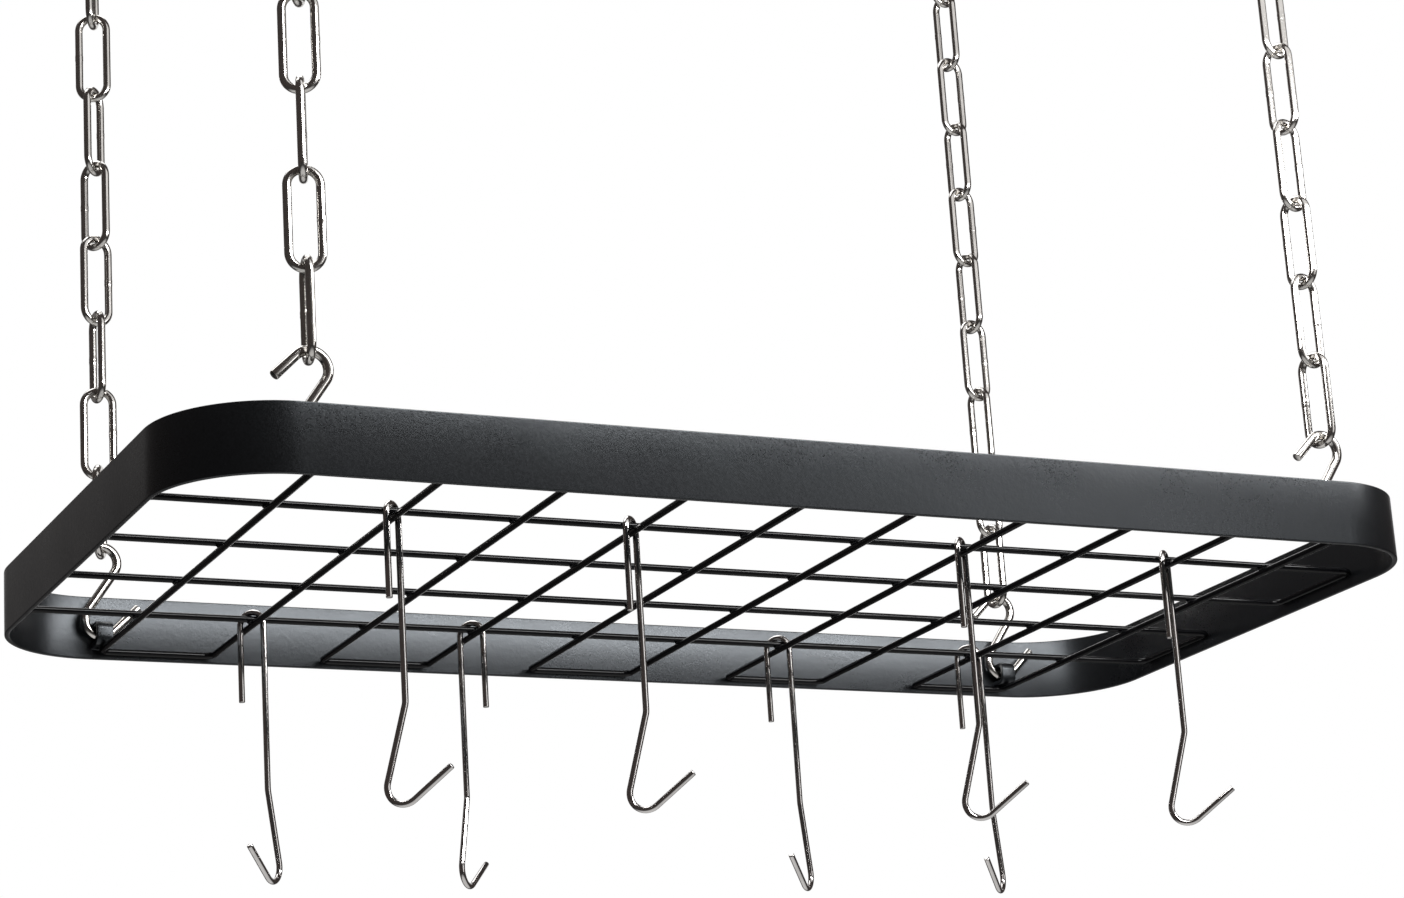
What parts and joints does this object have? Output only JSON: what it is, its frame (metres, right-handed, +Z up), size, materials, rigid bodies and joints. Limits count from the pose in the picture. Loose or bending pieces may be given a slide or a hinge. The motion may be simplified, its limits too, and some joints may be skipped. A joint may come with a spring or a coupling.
{
  "type": "hanging pot rack",
  "caption": "Rounded flat-bar rack with a wire grid, hung on chains and S-hooks from ceiling screw hooks, with wire pot hooks.",
  "frame": {"origin": "on the ceiling plane, in the middle of the four ceiling hooks", "axes": "+X along the rack to the right, +Y to the back, +Z up into the ceiling"},
  "size_m": [0.762, 0.4104, 0.7748],
  "materials": {
    "black_powder_coat": "satin powder coat with a fine texture",
    "black_enamel": "glossy black dip coat",
    "nickel_plate": "bright nickel plate",
    "chrome_plate": "bright chrome plate",
    "zinc_plate": "dull zinc plate"
  },
  "bodies": {
    "ceiling_hooks": {"ceiling_hook_front_left": "zinc_plate", "ceiling_hook_front_right": "zinc_plate", "ceiling_hook_back_left": "zinc_plate", "ceiling_hook_back_right": "zinc_plate"},
    "top_link_front_left": {"chain_front_left_link_1": "nickel_plate"},
    "lower_chain_front_left": {"chain_front_left_link_2": "nickel_plate", "chain_front_left_link_3": "nickel_plate", "chain_front_left_link_4": "nickel_plate", "chain_front_left_link_5": "nickel_plate", "chain_front_left_link_6": "nickel_plate", "chain_front_left_link_7": "nickel_plate", "chain_front_left_lower_links": "nickel_plate"},
    "s_hook_front_left": {"s_hook_front_left": "nickel_plate"},
    "top_link_front_right": {"chain_front_right_link_1": "nickel_plate"},
    "lower_chain_front_right": {"chain_front_right_link_2": "nickel_plate", "chain_front_right_link_3": "nickel_plate", "chain_front_right_link_4": "nickel_plate", "chain_front_right_link_5": "nickel_plate", "chain_front_right_link_6": "nickel_plate", "chain_front_right_link_7": "nickel_plate", "chain_front_right_lower_links": "nickel_plate"},
    "s_hook_front_right": {"s_hook_front_right": "nickel_plate"},
    "top_link_back_left": {"chain_back_left_link_1": "nickel_plate"},
    "lower_chain_back_left": {"chain_back_left_link_2": "nickel_plate", "chain_back_left_link_3": "nickel_plate", "chain_back_left_link_4": "nickel_plate", "chain_back_left_link_5": "nickel_plate", "chain_back_left_link_6": "nickel_plate", "chain_back_left_link_7": "nickel_plate", "chain_back_left_lower_links": "nickel_plate"},
    "s_hook_back_left": {"s_hook_back_left": "nickel_plate"},
    "top_link_back_right": {"chain_back_right_link_1": "nickel_plate"},
    "lower_chain_back_right": {"chain_back_right_link_2": "nickel_plate", "chain_back_right_link_3": "nickel_plate", "chain_back_right_link_4": "nickel_plate", "chain_back_right_link_5": "nickel_plate", "chain_back_right_link_6": "nickel_plate", "chain_back_right_link_7": "nickel_plate", "chain_back_right_lower_links": "nickel_plate"},
    "s_hook_back_right": {"s_hook_back_right": "nickel_plate"},
    "rack_frame": {"bar_frame": "black_powder_coat", "cross_wire_loop_1": "black_enamel", "cross_wire_loop_2": "black_enamel", "cross_wire_loop_3": "black_enamel", "cross_wire_loop_4": "black_enamel", "cross_wire_loop_5": "black_enamel", "long_wire_loop_1": "black_enamel", "long_wire_loop_2": "black_enamel", "hanger_lug_front_left": "black_powder_coat", "hanger_lug_front_right": "black_powder_coat", "hanger_lug_back_left": "black_powder_coat", "hanger_lug_back_right": "black_powder_coat"},
    "pot_hook_front_1": {"pot_hook_front_1": "chrome_plate"},
    "pot_hook_front_2": {"pot_hook_front_2": "chrome_plate"},
    "pot_hook_front_3": {"pot_hook_front_3": "chrome_plate"},
    "pot_hook_front_4": {"pot_hook_front_4": "chrome_plate"},
    "pot_hook_back_1": {"pot_hook_back_1": "chrome_plate"},
    "pot_hook_back_2": {"pot_hook_back_2": "chrome_plate"},
    "pot_hook_back_3": {"pot_hook_back_3": "chrome_plate"},
    "pot_hook_back_4": {"pot_hook_back_4": "chrome_plate"}
  },
  "joints": [
    {"name": "chain_front_left_sway_along", "type": "hinge", "parent": "ceiling_hooks", "child": "top_link_front_left", "pos_m": [-0.3105, -0.1915, -0.04033], "axis": [0, 1, 0], "range_deg": [-12, 12]},
    {"name": "chain_front_left_sway_across", "type": "hinge", "parent": "top_link_front_left", "child": "lower_chain_front_left", "pos_m": [-0.3105, -0.1915, -0.0889], "axis": [1, 0, 0], "range_deg": [-12, 12]},
    {"name": "s_hook_front_left_rock", "type": "hinge", "parent": "lower_chain_front_left", "child": "s_hook_front_left", "pos_m": [-0.3105, -0.1915, -0.52628], "axis": [1, 0, 0], "range_deg": [-12, 12]},
    {"name": "chain_front_right_sway_along", "type": "hinge", "parent": "ceiling_hooks", "child": "top_link_front_right", "pos_m": [0.3105, -0.1915, -0.04033], "axis": [0, 1, 0], "range_deg": [-12, 12]},
    {"name": "chain_front_right_sway_across", "type": "hinge", "parent": "top_link_front_right", "child": "lower_chain_front_right", "pos_m": [0.3105, -0.1915, -0.0889], "axis": [1, 0, 0], "range_deg": [-12, 12]},
    {"name": "s_hook_front_right_rock", "type": "hinge", "parent": "lower_chain_front_right", "child": "s_hook_front_right", "pos_m": [0.3105, -0.1915, -0.52628], "axis": [1, 0, 0], "range_deg": [-12, 12]},
    {"name": "chain_back_left_sway_along", "type": "hinge", "parent": "ceiling_hooks", "child": "top_link_back_left", "pos_m": [-0.3105, 0.1915, -0.04033], "axis": [0, 1, 0], "range_deg": [-12, 12]},
    {"name": "chain_back_left_sway_across", "type": "hinge", "parent": "top_link_back_left", "child": "lower_chain_back_left", "pos_m": [-0.3105, 0.1915, -0.0889], "axis": [1, 0, 0], "range_deg": [-12, 12]},
    {"name": "s_hook_back_left_rock", "type": "hinge", "parent": "lower_chain_back_left", "child": "s_hook_back_left", "pos_m": [-0.3105, 0.1915, -0.52628], "axis": [1, 0, 0], "range_deg": [-12, 12]},
    {"name": "chain_back_right_sway_along", "type": "hinge", "parent": "ceiling_hooks", "child": "top_link_back_right", "pos_m": [0.3105, 0.1915, -0.04033], "axis": [0, 1, 0], "range_deg": [-12, 12]},
    {"name": "chain_back_right_sway_across", "type": "hinge", "parent": "top_link_back_right", "child": "lower_chain_back_right", "pos_m": [0.3105, 0.1915, -0.0889], "axis": [1, 0, 0], "range_deg": [-12, 12]},
    {"name": "s_hook_back_right_rock", "type": "hinge", "parent": "lower_chain_back_right", "child": "s_hook_back_right", "pos_m": [0.3105, 0.1915, -0.52628], "axis": [1, 0, 0], "range_deg": [-12, 12]},
    {"name": "rack_frame_level", "type": "hinge", "parent": "s_hook_front_left", "child": "rack_frame", "pos_m": [-0.3105, -0.1915, -0.57178], "axis": [0, 1, 0], "range_deg": [-12, 12]},
    {"name": "pot_hook_front_1_swing", "type": "hinge", "parent": "rack_frame", "child": "pot_hook_front_1", "pos_m": [-0.2415, -0.1185, -0.58618], "axis": [1, 0, 0], "range_deg": [-40, 40]},
    {"name": "pot_hook_front_2_swing", "type": "hinge", "parent": "rack_frame", "child": "pot_hook_front_2", "pos_m": [-0.1035, -0.1185, -0.58618], "axis": [1, 0, 0], "range_deg": [-40, 40]},
    {"name": "pot_hook_front_3_swing", "type": "hinge", "parent": "rack_frame", "child": "pot_hook_front_3", "pos_m": [0.1035, -0.1185, -0.58618], "axis": [1, 0, 0], "range_deg": [-40, 40]},
    {"name": "pot_hook_front_4_swing", "type": "hinge", "parent": "rack_frame", "child": "pot_hook_front_4", "pos_m": [0.2415, -0.1185, -0.58618], "axis": [1, 0, 0], "range_deg": [-40, 40]},
    {"name": "pot_hook_back_1_swing", "type": "hinge", "parent": "rack_frame", "child": "pot_hook_back_1", "pos_m": [-0.2415, 0.1185, -0.58618], "axis": [1, 0, 0], "range_deg": [-40, 40]},
    {"name": "pot_hook_back_2_swing", "type": "hinge", "parent": "rack_frame", "child": "pot_hook_back_2", "pos_m": [-0.1035, 0.1185, -0.58618], "axis": [1, 0, 0], "range_deg": [-40, 40]},
    {"name": "pot_hook_back_3_swing", "type": "hinge", "parent": "rack_frame", "child": "pot_hook_back_3", "pos_m": [0.1035, 0.1185, -0.58618], "axis": [1, 0, 0], "range_deg": [-40, 40]},
    {"name": "pot_hook_back_4_swing", "type": "hinge", "parent": "rack_frame", "child": "pot_hook_back_4", "pos_m": [0.2415, 0.1185, -0.58618], "axis": [1, 0, 0], "range_deg": [-40, 40]}
  ],
  "couplings": [
    {"joint": "s_hook_front_left_rock", "follows": "chain_front_left_sway_across", "ratio": -1},
    {"joint": "chain_front_right_sway_along", "follows": "chain_front_left_sway_along", "ratio": 1},
    {"joint": "chain_front_right_sway_across", "follows": "chain_front_left_sway_across", "ratio": 1},
    {"joint": "s_hook_front_right_rock", "follows": "chain_front_left_sway_across", "ratio": -1},
    {"joint": "chain_back_left_sway_along", "follows": "chain_front_left_sway_along", "ratio": 1},
    {"joint": "chain_back_left_sway_across", "follows": "chain_front_left_sway_across", "ratio": 1},
    {"joint": "s_hook_back_left_rock", "follows": "chain_front_left_sway_across", "ratio": -1},
    {"joint": "chain_back_right_sway_along", "follows": "chain_front_left_sway_along", "ratio": 1},
    {"joint": "chain_back_right_sway_across", "follows": "chain_front_left_sway_across", "ratio": 1},
    {"joint": "s_hook_back_right_rock", "follows": "chain_front_left_sway_across", "ratio": -1},
    {"joint": "rack_frame_level", "follows": "chain_front_left_sway_along", "ratio": -1}
  ]
}
